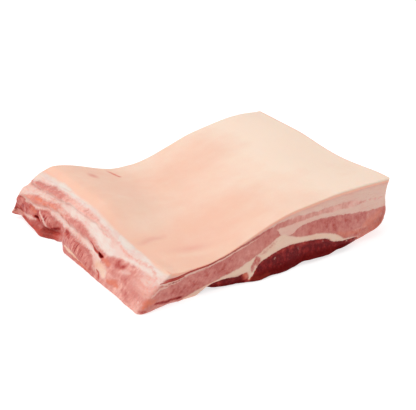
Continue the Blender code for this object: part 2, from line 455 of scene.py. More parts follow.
# Marks on the cut sides, by what they do: each is its half width in millimetres, how strong it is, and
# its path of (run, depth) points. Runs are below zero on the left side and above zero on the front.
MARKS = {
    "warm": (
        (3.5, 1, (-216, 22), (-206, 23)), (3, 0.9, (-202, 25), (-197, 25)),
        (3, 0.7, (-192, 23), (-182, 23.5)), (3, 0.6, (-215, 32.5), (-207, 38)),
        (2.2, 0.7, (-117, 51.5), (-102, 48), (-90, 45.5)), (3.5, 0.8, (-83, 24), (-73, 24)),
        (3.6, 0.8, (-62, 37), (-52, 34), (-45, 37)), (5.5, 0.9, (0, 39), (2, 34), (8, 32.5)),
        (2.2, 0.7, (114, 55), (124, 59), (135, 61)), (3, 0.6, (106, 47), (112, 52)),
        (3.2, 0.5, (210, 48), (218, 53), (232, 55), (243, 60)),
        (8, 0.6, (247, 54), (259, 52), (266, 44)),
    ),
    "fat": (
        (3.5, 0.5, (-179, 23), (-167, 21)),
        (4.5, 0.75, (-226, 54), (-217, 50), (-210, 46.5), (-203, 45.5)),
        (1.6, 0.7, (-203, 33.5), (-193, 38.5), (-187, 42), (-183, 45.5)),
        (1.6, 0.65, (-158, 34.5), (-156, 41), (-156, 47), (-150, 52)),
        (2.2, 0.8, (-145, 51), (-135, 50.5), (-125, 50.5), (-113, 49)),
        (5, 0.85, (-244, 57), (-234, 56), (-226, 57)),
        (7, 0.8, (-96, 31), (-85, 34), (-76, 32.5), (-69, 37)), (4, 0.55, (-56, 21), (-43, 18)),
        (2.2, 0.8, (13, 15.5), (5, 17.5), (3, 23), (2, 26.5)), (1.8, 0.8, (-10, 37), (-8, 37)),
        (1.4, 0.8, (108, 35.5), (110, 43.5), (115, 53)), (1.8, 0.5, (136, 44.5), (136, 46.5)),
        (1.2, 0.3, (144, 56), (146, 56)), (1, 0.25, (161, 44.5), (165, 51)),
        (1.4, 0.4, (191, 49.5), (192, 51)), (1.6, 0.5, (223, 61.5), (224, 62.5)),
        (1.4, 0.35, (116, 56), (124, 59), (135, 61)), (1.6, 0.35, (226, 51), (239, 54.5), (249, 56)),
        (1.2, 0.5, (303, 33), (322, 36), (340, 35)), (1.4, 0.45, (372, 38), (395, 36), (412, 38)),
        (1.1, 0.5, (446, 35), (470, 38), (488, 37)), (1.3, 0.5, (-292, 29), (-315, 32), (-338, 30)),
        (1.1, 0.5, (-352, 27), (-372, 28), (-388, 31)), (1.5, 0.5, (-420, 35), (-440, 38), (-462, 36)),
    ),
    "tone": (
        (5, -0.04, (-231, 31), (-228, 41)), (4, 0.05, (-224, 34), (-216, 40)),
        (6, 0.06, (-190, 56.5), (-181, 57), (-170, 54)), (2.5, 0.35, (-179, 45), (-170, 41)),
        (2.5, 0.25, (-152, 36), (-139, 38)), (5, 0.17, (-81, 24), (-75, 18.5), (-63, 16.5), (-54, 15.5)),
        (4, 0.21, (-68, 16.5), (-56, 16)), (4, 0.2, (-83, 25), (-73, 24.5)),
        (7, 0.08, (-96, 31), (-76, 32.5)), (3, 0.15, (-63, 25.5), (-57, 28.5)),
        (3.5, 0.22, (-47, 26), (-38, 28.5)), (3.5, 0.3, (-61, 37), (-52, 34), (-46, 36)),
        (3.5, 0.2, (-36, 35.5), (-30, 39.5), (-23, 43)), (5, 0.14, (0, 39), (2, 34), (8, 32.5)),
        (2.5, 0.3, (-2, 44.5), (6, 45)), (4, 0.2, (113, 36), (112, 41)),
        (3.6, -0.26, (107, 47.5), (113, 53)), (3, 0.2, (232, 57), (240, 59), (250, 60)),
        (4, 0.12, (46, 9), (59, 20.5)), (4, 0.12, (76, 24), (90, 38)),
        (3, 0.5, (12, 36), (26, 39.5), (42, 40)), (7, 0.14, (12, 27), (40, 32)),
        (7, 0.18, (-330, 38), (-380, 40)), (7, -0.15, (-430, 50), (-470, 54)),
        (8, 0.15, (330, 44), (380, 47)),
    ),
    # Painted shade: dark lines in the left side's crevice, hole and knob slit, and under a lobe. The front
    # slit under the rind is partly its real red and partly painted shade.
    "shade_and_red": (
        (1.7, 1.1, (-205, 41.5), (-200, 43)),
        (1.1, 0.75, (-202, 43), (-195, 47), (-190, 50.5), (-183, 52.5), (-179, 51)),
        (1.7, 0.42, (-182, 52), (-176, 50.5), (-169, 48)), (3, 0.12, (-179, 55), (-169, 52)),
        (1.4, 0.6, (-110, 22.5), (-103, 25), (-99, 25.5), (-92, 25)), (1.8, 1.5, (-95, 25), (-86, 23.7)),
        (1.2, 0.45, (-83, 37), (-78, 39), (-73, 43)),
        (1.3, 0.6, (0, 10), (7, 8.5), (13, 8.5), (23, 7.5)),
    ),
    "yellow": (
        (3, 0.8, (-145, 51), (-135, 50.5), (-125, 50.5), (-113, 49)),
        (6.5, 0.65, (-88, 32), (-77, 33), (-70, 36)),
    ),
    "meat": (
        (2.2, 0.55, (-111, 8.3), (-102, 8.1), (-95, 7.1)),
        (1.1, 0.36, (-24, 19.5), (-14, 21), (-6, 18.5)), (1.6, 0.45, (-22, 27), (-12, 27.5), (-4, 24.5)),
        (2.6, 0.55, (2, 15), (12, 13), (24, 11), (36, 8), (50, 6.5)),
        (3.4, 0.72, (113, 36), (112, 40), (113, 47)), (4.6, 0.72, (114.5, 33), (116, 38), (117, 43)),
        (3.8, 0.42, (119, 32), (125, 30.5), (135, 28)), (1.9, 0.85, (243, 21.2), (248, 21.8)),
        (1.6, 0.8, (252, 22.3), (255, 22.6)), (1.7, 0.85, (258.5, 23.2), (262, 23.8)),
        (1.9, 0.85, (265.5, 24.2), (270, 24.9)), (0.7, 0.4, (241, 24), (252, 27), (270, 29.5)),
    ),
    "pink": (
        (2.5, 0.6, (-90, 36), (-80, 30), (-72, 29)),
        (1.5, 0.9, (-83, 4), (-63, 5.5), (-43, 4.5), (-27, 4), (-13, 6.5), (-8, 8.5)),
        (2.4, 1.3, (-29, 19), (-14, 21), (-5, 18), (-2, 14)), (2, 1.2, (-32, 15.5), (-19, 12), (-9, 11)),
        (3, 1.3, (-24, 27), (-12, 27), (-4, 24), (0, 20)),
        (1.6, 1.2, (-22, 5), (-14, 6.5), (-9, 9), (-7, 13)),
    ),
}  # fmt: skip

uneven_run = run + 1.2 * lumps(wall, 6, 41) + 0.5 * lumps(wall, 2.6, 43)
uneven_depth = depth + 1.0 * lumps(wall, 5, 42) + 0.4 * lumps(wall, 2.4, 44)


def mark_distance(path):
    """How far each wall point lies from a path whose line is a little uneven, and which thins to its ends."""
    steps = [math.dist(*ends) for ends in zip(path, path[1:])]
    nearest = np.full(depth.shape, 1e3)
    share = np.zeros(depth.shape)
    gone = 0.0
    for start, end, step in zip(path, path[1:], steps):
        along, *gaps = to_segment(uneven_run, uneven_depth, start, end)
        gap = np.hypot(*gaps)
        closer = gap < nearest
        nearest = np.where(closer, gap, nearest)
        share = np.where(closer, (gone + along * step) / sum(steps), share)
        gone += step
    return nearest / mix(0.55, 1.0, np.sin(np.pi * share) ** 0.7)


def marked(kind):
    """The strongest mark of this kind at each wall point, or the sum of the marks of tone."""
    total = np.zeros(depth.shape)
    for half_width, strength, *path in MARKS[kind]:
        value = strength * bell(mark_distance(path), 0, 1.5 * half_width)
        total = total + value if kind == "tone" else np.maximum(total, value)
    return np.minimum(total, 1.0)


# How far the back left end and the right side stand out from top to table. The right side is drawn in at
# the layers' edge, and full near the table.
TAIL_PROFILE = (
    (0, 0), (0.1, 0.8), (0.15, 0.2), (0.195, -2), (0.25, -0.2), (0.33, 2.8), (0.46, 2.8), (0.6, 0.8),
    (0.76, -2.2), (0.87, -4.4), (0.94, -3), (1, 0),
)  # fmt: skip
SIDE_PROFILE = (
    (0, 0), (0.2, -0.4), (0.4, -2.6), (0.6, -4.8), (0.75, -5), (0.88, -2.4), (0.95, -0.4), (1, 1),
)  # fmt: skip

# How far the lower rim curls up off the table round the slab, and how far it stands out.
FOOT_LIFT = (
    (-517, 2), (-420, 1), (-330, 2), (-260, 1.5), (-240, 0.5), (-222, 1.5), (-205, 2.5), (-190, 0.8),
    (-165, 0.6), (-157, 2.5), (-148, 1.2), (-120, 0.2), (-60, 0.3), (-40, 1.3), (-20, 0.4), (0, 0.2),
    (61, 0.2), (67, 1.2), (74, 3.4), (81, 2.4), (92, 0.6), (120, 0.3), (140, 1), (158, 0.3), (170, 0.8),
    (182, 3), (196, 2.4), (210, 1.6), (222, 4.6), (236, 3.6), (255, 3), (277, 4), (400, 3), (517, 2),
)  # fmt: skip
FOOT_REACH = (
    (-517, 0), (-200, 0), (-190, 1.5), (-178, 3.5), (-168, 2.5), (-160, -1.5), (-152, -1.5), (-140, 0),
    (0, 0), (35, 0.5), (45, 1.8), (58, 1.8), (66, 0.4), (74, -1.5), (84, 0), (115, 0), (128, 1.2),
    (140, 0.5), (158, 1.6), (168, 1.5), (185, 0), (230, 0.5), (250, 1), (277, 1), (330, 0.5), (400, 0),
    (517, 0),
)  # fmt: skip


def left_relief():
    """Relief of the left side: two rolls, three rounded lobes, the crevice, the hole and small folds."""
    roll = rise(streak_share, 0, 0.6) * fall(streak_share, 0.92, 1.06) * left_roll
    strip = np.sin(np.pi * np.clip(lean_share, 0, 1)) ** 0.7 * left_strip
    ridge = 0.6 * bell(depth, 1.5, 3.5) * rise(left_y, 60, 100)
    groove = 0.6 * band(LEAN_FOOT, LOWER_TOP, (-0.6, 0.6), (-0.8, 0.8)) * rise(left_y, 85, 95)
    blobs = 3.0 * dome(blob_front) + 3.0 * dome(blob_middle) + 2.6 * dome(blob_back)
    cuts = 1.5 * bell(crevice, 0, 3.6) + 1.2 * bell(hole, 0, 3.0) + 0.6 * bell(knob_slit, 0, 1.6)
    patches = 0.8 * bell(knob, 0, 1.0) - 0.7 * bell(red_patch, 0, 1.1) - 0.6 * bell(orange_spot, 0, 1.3)
    tail = curve(down, TAIL_PROFILE) * rise(left_y, 205, 236)
    waves = np.sin((depth * 0.9 - 0.045 * (left_y - 20) ** 2) * 0.9)
    folds = 0.25 * waves * bell(left_y, 18, 22) * rise(down, 0.2, 0.35)
    return roll + strip + ridge - groove + blobs - cuts + patches + folds + tail


def front_relief():
    """Relief of the front: sunk lean, a slit under the fat cap, a seam over the lower lean, and a flap."""
    inner = rise(run, 14, 30)
    slit = 0.5 * bell(below[STREAK_TOP], 0.6, 1.3) * fall(run, 60, 100) * rise(run, 4, 14)
    lean = 0.35 * band(LEAN_TOP, LEAN_FOOT, (0, 1), (-1, 0)) * inner
    streak = 0.25 * band(STREAK_TOP, STREAK_FOOT, (0, 1), (-1, 0)) * inner
    seam = 0.7 * bell(below[LOWER_TOP], 0.8, 1.6) * rise(run, 60, 72)
    flap = 1.2 * dome(oval(front_x, 0.34 * FRONT_RUN, 0.93, 21, 6))
    end = curve(down, SIDE_PROFILE) * rise(run, 245, 277)
    return flap + end - lean - streak - seam - slit


def side_relief():
    """Relief of the right and back sides, which follows their layers."""
    lean = 0.5 * np.sin(np.pi * np.clip(lean_share, 0, 1))
    seam = -0.5 * bell(below[LOWER_TOP], 0.5, 1.8)
    tuck = curve(down, SIDE_PROFILE) * bell(run, 0.5 * (FRONT_RUN + TURN) - 20, 0.72 * SIDE_RUN)
    tail = curve(down, TAIL_PROFILE) * fall(run, -252, -240) * rise(run, -275, -250)
    return lean + seam + tuck + tail


def unit(vectors):
    return vectors / np.linalg.norm(vectors, axis=-1, keepdims=True)


def neighbours(values):
    """Each wall value's four neighbours, added up."""
    padded = np.concatenate([values[:1], values, values[-1:]])
    return padded[:-2] + padded[2:] + np.roll(values, 1, 1) + np.roll(values, -1, 1)


def outward():
    """The walls' outward directions, smoothed a little so that relief doesn't fold."""
    along = np.roll(wall, -2, axis=1) - np.roll(wall, 2, axis=1)
    normal = unit(np.cross(np.gradient(wall, axis=0), along))
    for _ in range(6):
        normal = unit(neighbours(normal) + normal)
    return normal


SOFT = (-0.5, 0.5)
in_streak = band(STREAK_TOP, STREAK_FOOT, SOFT, SOFT)
in_lean = most([in_streak, band(LEAN_TOP, LEAN_FOOT, SOFT, SOFT), rise(below[LOWER_TOP], *SOFT)])
on_side = 1 - np.clip(on_left + on_front, 0, 1)
relief = on_left * left_relief() + on_front * front_relief() + on_side * side_relief()
rough = mix(0.55, 1.0, in_lean) * rise(depth, 1.0, 6.0)
relief += rough * (0.5 * lumps(wall, 13, 1) + 0.3 * lumps(wall, 5.5, 2) + 0.16 * lumps(wall, 2.4, 3))
relief *= rise(depth, 0.0, 2.0) * (1 - 0.6 * rise(down, 0.96, 1.0))
near_foot = rise(down, 0.75, 1.0)
foot_lift = curve(signed_run, FOOT_LIFT)
direction = outward()
relief += curve(signed_run, FOOT_REACH) * near_foot
wall = wall + direction * relief[..., None]
wall[..., 2] = np.maximum(wall[..., 2] + foot_lift * near_foot, 0.0)


# The top and the underside.


def sheet_points(step, share_down):
    """Points inside a sheet across the slab, one for each inner crossing of its cells."""
    shares = np.arange(step, ACROSS, step) / ACROSS, np.arange(step, BACK, step) / BACK
    across, back = np.meshgrid(*shares, indexing="ij")
    return across, back, place(across, back, np.full(across.shape, share_down))


def rim_gaps(across, back):
    """Fine cells from each point of a sheet to the slab's front, back, left and right."""
    return back * BACK, (1 - back) * BACK, across * ACROSS, (1 - across) * ACROSS


def spot(x, y, half_x, half_y):
    """A smooth bump over an oval round the origin."""
    return bell(np.hypot(x / half_x, y / half_y), 0, 1.0)


top_across, top_back, top = sheet_points(1, 0.0)
top[..., 2] += 0.3 * lumps(top, 34, 5) + 0.12 * lumps(top, 11, 6) + 0.03 * lumps(top, 4, 7)

# Lines on the skin, from point to point: two wrinkles with how strong they are, and a slit.
WRINKLES = (((6, 69), (41, 69.5), 0.5), ((20, 45), (52, 32), 0.3))
SLIT = ((67, 233), (71.5, 209))


def line_distance(x, y, start, end):
    """How far points lie from a wavy line, and how far along it."""
    along, gap_x, gap_y = to_segment(x, y, start, end)
    return np.hypot(gap_x, gap_y + np.sin(3.0 * along * np.pi)), along


def skin_marks(points):
    """How pink, how wrinkled and how red the rind is, and how deep its slit; the pink holds a broad spot of
    painted shade over the middle.
    """
    x, y = points[..., 0], points[..., 1]
    wrinkle = np.zeros(x.shape)
    for start, end, strength in WRINKLES:
        distance, along = line_distance(x, y, start, end)
        wrinkle = np.maximum(wrinkle, strength * bell(distance, 0, 5.5) * np.sin(np.pi * along) ** 0.5)
    fold = y - 34 + 0.38 * (x - 46)
    wrinkle = np.maximum(wrinkle, 0.34 * spot(x - 44, fold, 34, 11))
    wrinkle = wrinkle + 0.22 * spot(x - 49, fold, 15, 6) + 0.12 * spot(x - 24, y - 69, 24, 11)
    wrinkle = wrinkle + 0.14 * spot(x - 60, y - 44, 42, 26)
    pink = np.clip((215 - x) / 175, 0, 1) - 0.2 * rise(y, 60, 110) * rise(x, -5, 30)
    pink = pink - 0.2 * spot(x - 40, fold + 13, 34, 8) + 0.35 * spot(x - 105, y - 60, 66, 66)
    pink = pink + 0.42 * spot(x - 178, y - 200, 85, 80) - 0.3 * spot(x - 33, y - 92, 45, 45)
    # The broad pink spot over the middle darkens the skin there as painted shade.
    pink = pink + 0.34 * spot(x - 125, y - 160, 105, 105)
    distance, along = line_distance(x, y, *SLIT)
    slit = bell(distance, 0, 3.4) * rise(along, 0, 0.5)
    red = most([slit, 0.6 * spot(x - 38, y - 206, 8, 12), 0.5 * spot(x + 1, y - 3, 5, 9)])
    return pink, wrinkle, red, slit


pink, wrinkle, red, slit = skin_marks(top)
top[..., 2] -= 0.4 * wrinkle + 0.5 * slit


def gathered(rim_value, across, back):
    """A wall value at the rim carried inwards over a sheet, nearest side first."""
    wrapped = np.append(rim_value, rim_value[0])
    i, j = across * ACROSS, back * BACK
    columns = i, COLUMNS - BACK - i, COLUMNS - j, ACROSS + j
    total, weights = 0.0, 0.0
    for column, gap in zip(columns, rim_gaps(across, back)):
        weight = 1.0 / (gap + 0.5) ** 2
        total = total + weight * wrapped[np.round(column).astype(int)]
        weights = weights + weight
    return total / weights


under_across, under_back, under = sheet_points(UNDER_STEP, 1.0)
under_rim = least(rim_gaps(under_across, under_back))
under_lumps = 0.6 + 0.5 * lumps(under, 16, 8) + 0.3 * lumps(under, 6, 9)
under[..., 2] += gathered(foot_lift, under_across, under_back) * fall(under_rim, 0, 18)
in_valley = rise(rib_valleys(under[..., 0], under[..., 1]), 0.0, 0.4)
under[..., 2] += under_lumps * rise(under_rim, 0, 12) * in_valley
under[..., 2] = np.maximum(under[..., 2], 0.0)


# What each point carries for the material.

# How deep the red of each lean layer is round the slab: 0 pale pink, 1 dark maroon.
STREAK_RED = (
    (-517, 0.42), (-240, 0.38), (-215, 0.38), (-190, 0.32), (-165, 0.17), (-120, 0.13), (-60, 0.18), (0, 0.5),
    (30, 0.65), (100, 0.62), (135, 0.4), (165, 0.26), (277, 0.2), (517, 0.42),
)  # fmt: skip
MAIN_RED = (
    (-517, 0.5), (-240, 0.4), (-225, 0.28), (-170, 0.28), (-150, 0.36), (-100, 0.4), (-80, 0.3), (-40, 0.3),
    (-10, 0.3), (20, 0.42), (50, 0.5), (85, 0.47), (125, 0.42), (155, 0.46), (180, 0.48), (517, 0.5),
)  # fmt: skip
LOWER_RED = (
    (-517, 0.85), (-300, 0.75), (-240, 0.62), (-200, 0.62), (-160, 0.5), (-90, 0.46), (-60, 0.45), (0, 0.6),
    (50, 0.95), (230, 1.0), (260, 0.8), (400, 0.8), (517, 0.85),
)  # fmt: skip

lip = on_left * rise(down, 0.86, 0.93) * rise(left_y, 160, 172)
redness = mix(curve(run, STREAK_RED), curve(run, MAIN_RED), rise(below[LEAN_TOP], -1, 0))
redness = mix(redness, curve(run, LOWER_RED), rise(below[LOWER_TOP], -0.6, 0.2))
redness = mix(redness, 0.72, lip) + marked("tone") + 0.08 * lumps(wall, 24, 51)
redness = redness - 0.1 * on_front * bell(below[LOWER_TOP], 1.5, 5) * rise(run, 105, 125)

warmth = most([
    0.25 * on_left * band(LEAN_TOP, LEAN_FOOT, (0, 1), (-1, 0)) * rise(left_y, 150, 190),
    0.2 * lip, 0.5 * bell(run, FRONT_RUN, 50) * rise(down, 0.7, 0.9), marked("warm"),
])  # fmt: skip
pale = most([
    0.75 * on_left * bell(left_y, 12, 34) * fall(down, 0.45, 0.75),
    marked("fat"), 0.28 * on_front * rise(run, 140, 175) * in_streak,
])  # fmt: skip
rosy = marked("meat")
# Painted shade, darkening the flesh towards a deep red: the marks above, the crevice, the gap under the
# front's fat cap, and the front's lower lean towards the table. The lip's share is its real deeper red, and
# the gap's red is partly real.
shade_and_red = most([
    marked("shade_and_red"), 0.2 * lip, 0.1 * on_left * bell(crevice, 0, 3.0),
    0.6 * on_front * bell(below[STREAK_TOP], 0.7, 1.8) * fall(run, 30, 90) * rise(run, 2, 10),
    0.8 * on_front * rise(redness, 0.8, 0.95) * rise(down, 0.66, 0.92) * rise(below[LOWER_TOP], 2, 7),
])  # fmt: skip
third_fat = on_front * band(LEAN_FOOT, LOWER_TOP, (-0.5, 1.0), (-1.0, 0.5)) * rise(run, 60, 95)
lower_left = on_front * fall(run, 60, 90) * rise(run, 20, 35)
yellow = 0.4 * lower_left * rise(below[LEAN_FOOT], -1, 1)
yellow = most([yellow, marked("yellow"), 0.6 * third_fat])
white = np.maximum(on_left * (1 - 0.5 * rise(left_y, 215, 238)), 0.4 * third_fat)
blush_and_glow = on_left * np.maximum(
    0.6 * band(STREAK_FOOT, LEAN_TOP, (1.5, 4), (-4, -1)) * rise(left_y, 175, 215),
    0.3 * bell(left_y, 25, 50) * rise(down, 0.1, 0.3),
)
blush_and_glow = np.maximum(blush_and_glow, marked("pink")) - 0.6 * third_fat
blush_and_glow = blush_and_glow + 0.6 * on_front * rise(below[LEAN_FOOT], -0.5, 1.0) * fall(run, 60, 95)
lobes = most([bell(blob_front, 0, 1.2), bell(blob_middle, 0, 1.2), 0.6 * bell(blob_back, 0, 1.2)])
fibres = np.maximum(on_left * lobes, 0.14)


def hollows():
    """Where the walls' relief lies below what is round it."""
    smooth = relief.copy()
    for _ in range(40):
        smooth = 0.25 * neighbours(smooth)
    return smooth - relief


hollow = hollows()
# Painted shade darkens the left side's hollows, and a painted warm glow of light through the fat turns them
# pink.
shade_and_red = np.maximum(shade_and_red, 0.15 * on_left * rise(hollow, 0.6, 2.0))
blush_and_glow = np.maximum(blush_and_glow, 0.6 * on_left * rise(hollow, 0.1, 1.0) * rise(depth, 3, 7))
# The nine values for the material: tones of the flesh, with painted shade and painted glow among them.
TONE_AND_PAINTED_LIGHT = (redness, warmth, pale, shade_and_red, yellow, rosy, white, blush_and_glow, fibres)
# The same nine values in the middle of the underside.
UNDER_TONE_AND_PAINTED_LIGHT = (0.55, 0.15, 0.0, 0.0, 0.2, 0.0, 0.4, 0.3, 0.3)


def top_values():
    """The same values over the rind's top, where only the distance to the rind's edge matters."""
    x, y = top[..., 0], top[..., 1]
    from_left = x - SKIN_LEFT_DRIFT * top_back
    from_right = SOLID_RIGHT[0] + SOLID_RIGHT[1] * top_back - x
    from_rest = least([y, mix(*SKIN_DEPTHS, top_across) - y, from_right])
    skin = np.maximum(-from_left - curve(y, RIND_REACH), -from_rest - 2.7)
    others = -np.minimum(from_left, from_rest) - 3.0
    none = np.zeros(x.shape)
    white_top = fall(from_left, 6, 12) * (1 - 0.5 * rise(y, 215, 238))
    return [skin] + [others] * (LAYER_COUNT - 1) + [none] * 6 + [white_top, none, none, pink, wrinkle, red]


def under_values():
    """The same values over the underside, which fade from those of the rim to lean beds between fat."""
    rim = [gathered(value[-1], under_across, under_back) for value in (*below, *TONE_AND_PAINTED_LIGHT)]
    inner = rise(under_rim, 5, 26)
    valley = rib_valleys(under[..., 0], under[..., 1])
    lean_bed = (valley - 0.35) * 9 + 5.0 * lumps(under, 22, 11) + 2.0 * lumps(under, 9, 12)
    middle = {LOWER_TOP: lean_bed, LEAN_FOOT: 20.0}
    middle.update(enumerate(UNDER_TONE_AND_PAINTED_LIGHT, LAYER_COUNT))
    for index, value in middle.items():
        rim[index] = mix(rim[index], value, inner)
    return rim + [np.zeros(under_across.shape)] * 3


none = np.zeros(depth.shape)
wall_values = [*below, *TONE_AND_PAINTED_LIGHT, skin_marks(wall)[0], none, none]
ATTRIBUTES = ("cut_upper", "cut_lower", "flesh_tone", "flesh_shade_and_tone", "fat_tone_and_glow", "skin_marks")


def packed(values):
    """The values in the order of ATTRIBUTES, three to a point."""
    return np.stack([value.reshape(-1) for value in values], axis=-1).reshape(-1, len(ATTRIBUTES), 3)


# Meshes. A point's number counts the walls' rows first, then the top's inside and the underside's.


def ring_number(i, j):
    """The column that passes through this crossing of the rim."""
    if j == 0:
        return i
    if i == ACROSS:
        return ACROSS + j
    return COLUMNS - BACK - i if j == BACK else COLUMNS - j


def sheet_faces(step, row_start, inner_start, upward):
    """Faces of a sheet, whose cells at the rim take in every column of the row."""
    inner_back = BACK // step - 1
    faces = []

    def number(i, j):
        if i in (0, ACROSS) or j in (0, BACK):
            return row_start + ring_number(i, j)
        return inner_start + (i // step - 1) * inner_back + j // step - 1

    def side(start, end, fixed, along_i):
        rim = fixed in ((0, BACK) if along_i else (0, ACROSS))
        count = abs(end - start) if rim else 1
        for k in range(count):
            moving = start + (end - start) * k // count
            yield number(moving, fixed) if along_i else number(fixed, moving)

    for i in range(0, ACROSS, step):
        for j in range(0, BACK, step):
            loop = [
                *side(i, i + step, j, True),
                *side(j, j + step, i + step, False),
                *side(i + step, i, j + step, True),
                *side(j + step, j, i, False),
            ]
            faces.append(loop if upward else loop[::-1])
    return faces


def wall_faces(rows):
    """Faces of this many rows of the walls."""
    first = np.arange(rows)[:, None] * COLUMNS
    column = np.arange(COLUMNS)[None, :]
    after = (column + 1) % COLUMNS
    quads = [first + column, first + COLUMNS + column, first + COLUMNS + after, first + after]
    return np.stack(quads, axis=-1).reshape(-1, 4)


def wall_grain(quads, first, last):
    """The run and the depth at each corner of the walls' faces between two rows."""
    column = quads[:, :1] % COLUMNS
    ends = np.concatenate([runs[column], runs[column], runs[column + 1], runs[column + 1]], axis=1)
    ends = ends - np.where(column >= ACROSS + BACK, 2 * TURN, 0.0)
    return np.stack([ends, depth[first : last + 1].reshape(-1)[quads]], axis=-1)


def relax(points, faces, weight, rounds):
    """Moves points towards the middle of their neighbours."""
    edges = np.concatenate([faces[:, [k, (k + 1) % 4]] for k in range(4)])
    edges = np.unique(np.sort(edges, axis=1), axis=0)
    count = np.bincount(edges.reshape(-1))[:, None]
    for _ in range(rounds):
        total = np.zeros_like(points)
        for axis in range(3):
            total[:, axis] += np.bincount(edges[:, 0], points[edges[:, 1], axis], len(points))
            total[:, axis] += np.bincount(edges[:, 1], points[edges[:, 0], axis], len(points))
        points = points + weight[:, None] * (total / count - points)
    return points


def rounded_rind():
    """Rounds the rind's edge, over the top and the first rows of the walls."""
    rows = RIND_ROWS + 5
    ring = wall[: rows + 1].reshape(-1, 3)
    points = np.concatenate([ring, top.reshape(-1, 3)])
    faces = np.concatenate([sheet_faces(1, 0, len(ring), True), wall_faces(rows)])
    from_rim = least(rim_gaps(top_across, top_back)).reshape(-1)
    weight = 1 - np.concatenate([rise(depth[: rows + 1], 2.0, 5.0).reshape(-1), rise(from_rim, 1, 5)])
    weight[rows * COLUMNS : len(ring)] = 0.0
    points = relax(points, faces, weight * 0.8, 3)
    return points[: len(ring)].reshape(-1, COLUMNS, 3), points[len(ring) :].reshape(top.shape)


rounded_wall, top = rounded_rind()
wall[: len(rounded_wall)] = rounded_wall


def linked(name, data):
    """A new object in the scene."""
    made = bpy.data.objects.new(name, data)
    bpy.context.scene.collection.objects.link(made)
    return made


def mesh_object(name, points, values, groups, hard_edge):
    """A closed mesh. Each group is its faces, their grain corners and their map corners."""
    faces = [list(map(int, face)) for group in groups for face in group[0]]
    mesh = bpy.data.meshes.new(name)
    centred = (points - np.array([MIDDLE_X, MIDDLE_Y, 0.0])) * MM
    mesh.from_pydata(centred.tolist(), [], faces)
    for index, attribute in enumerate(ATTRIBUTES):
        layer = mesh.attributes.new(attribute, "FLOAT_VECTOR", "POINT")
        layer.data.foreach_set("vector", values[:, index].astype(np.float32).reshape(-1))
    for title, slot in (("OFBake", 2), ("grain", 1)):
        corners = np.concatenate([np.asarray(group[slot], np.float32).reshape(-1, 2) for group in groups])
        layer = mesh.uv_layers.new(name=title, do_init=False)
        layer.data.foreach_set("uv", corners.reshape(-1))
    mesh.uv_layers["OFBake"].active_render = True
    mesh.polygons.foreach_set("use_smooth", [True] * len(faces))
    ends = np.empty(len(mesh.edges) * 2, np.int32)
    mesh.edges.foreach_get("vertices", ends)
    ends = ends.reshape(-1, 2)
    sharp = mesh.attributes.new("sharp_edge", "BOOLEAN", "EDGE")
    sharp.data.foreach_set("value", hard_edge[ends].all(axis=1))
    mesh.update()
    return linked(name, mesh)


def hidden_sheet(sink):
    """The points and values of a coarse sheet just under the rind's top."""
    across, _, points = sheet_points(HIDDEN_STEP, 0.0)
    points[..., 2] -= sink
    inside_skin = np.full(across.shape, -9.0)
    return points.reshape(-1, 3), packed([inside_skin] * LAYER_COUNT + [np.zeros(across.shape)] * 12)


# Scale of the grain map, per millimetre.
GRAIN = 0.01


def closed_piece(name, first, last, sheet, sheet_values, step, on_top, sink, layout):
    """Some rows of the walls, closed by a visible sheet at one end and a hidden one at the other.

    The layout says how the bake map is laid out: its width in millimetres of wall, the walls' place from
    the left, each wall's place from the bottom, the sheets' origin, and each sheet's scale and place.
    """
    map_width, left, bottoms, origin, *sheet_maps = layout
    rows = last - first
    ring = wall[first : last + 1].reshape(-1, 3)
    hidden, hidden_values = hidden_sheet(sink)
    points = np.concatenate([ring, sheet.reshape(-1, 3), hidden])
    values = [packed([value[first : last + 1] for value in wall_values]), packed(sheet_values), hidden_values]
    ends = 0, rows * COLUMNS
    open_end, hidden_end = ends if on_top else ends[::-1]
    outer = sheet_faces(step, open_end, len(ring), on_top)
    inner = sheet_faces(HIDDEN_STEP, hidden_end, len(ring) + sheet.size // 3, not on_top)

    quads = wall_faces(rows)
    grain = wall_grain(quads, first, last)
    side = np.repeat(range(4), [ACROSS, BACK] * 2)[quads[:, :1] % COLUMNS]
    start = np.array([0.0, FRONT_RUN, -TURN, -SIDE_RUN])[side]
    wall_map = np.stack([left + grain[..., 0] - start, np.array(bottoms)[side] + grain[..., 1]], axis=-1)
    groups = [(quads, grain * GRAIN, wall_map / map_width)]
    for faces, (scale, shift) in zip((outer, inner), sheet_maps):
        flat = np.array([points[k, :2] for face in faces for k in face]) - origin
        groups.append((faces, flat * GRAIN, flat * scale / map_width + shift))
    hard = np.zeros(len(points), bool)
    hard[hidden_end : hidden_end + COLUMNS] = True
    return mesh_object(name, points, np.concatenate(values), groups, hard)


# The layouts of the two bake maps. A sheet's place is a share of the map, the rest is in millimetres.
RIND_MAP = (300.0, 3.0, (258.0, 262.0, 266.0, 270.0), (-12.0, -6.0), (1.0, (0.0, 0.0)), (0.08, (0.0, 0.925)))
FLESH_MAP = (350.0, 4.0, (4.0, 74.0, 214.0, 144.0), (-50.0, -20.0), (0.2, (0.72, 0.81)), (0.1, (0.9, 0.81)))
rind = closed_piece("rind", 0, RIND_ROWS, top, top_values(), 1, True, RIND_DEPTH, RIND_MAP)
flesh = closed_piece(
    "flesh", RIND_ROWS, ROWS, under, under_values(), UNDER_STEP, False, RIND_DEPTH + 0.6, FLESH_MAP
)


# The material.


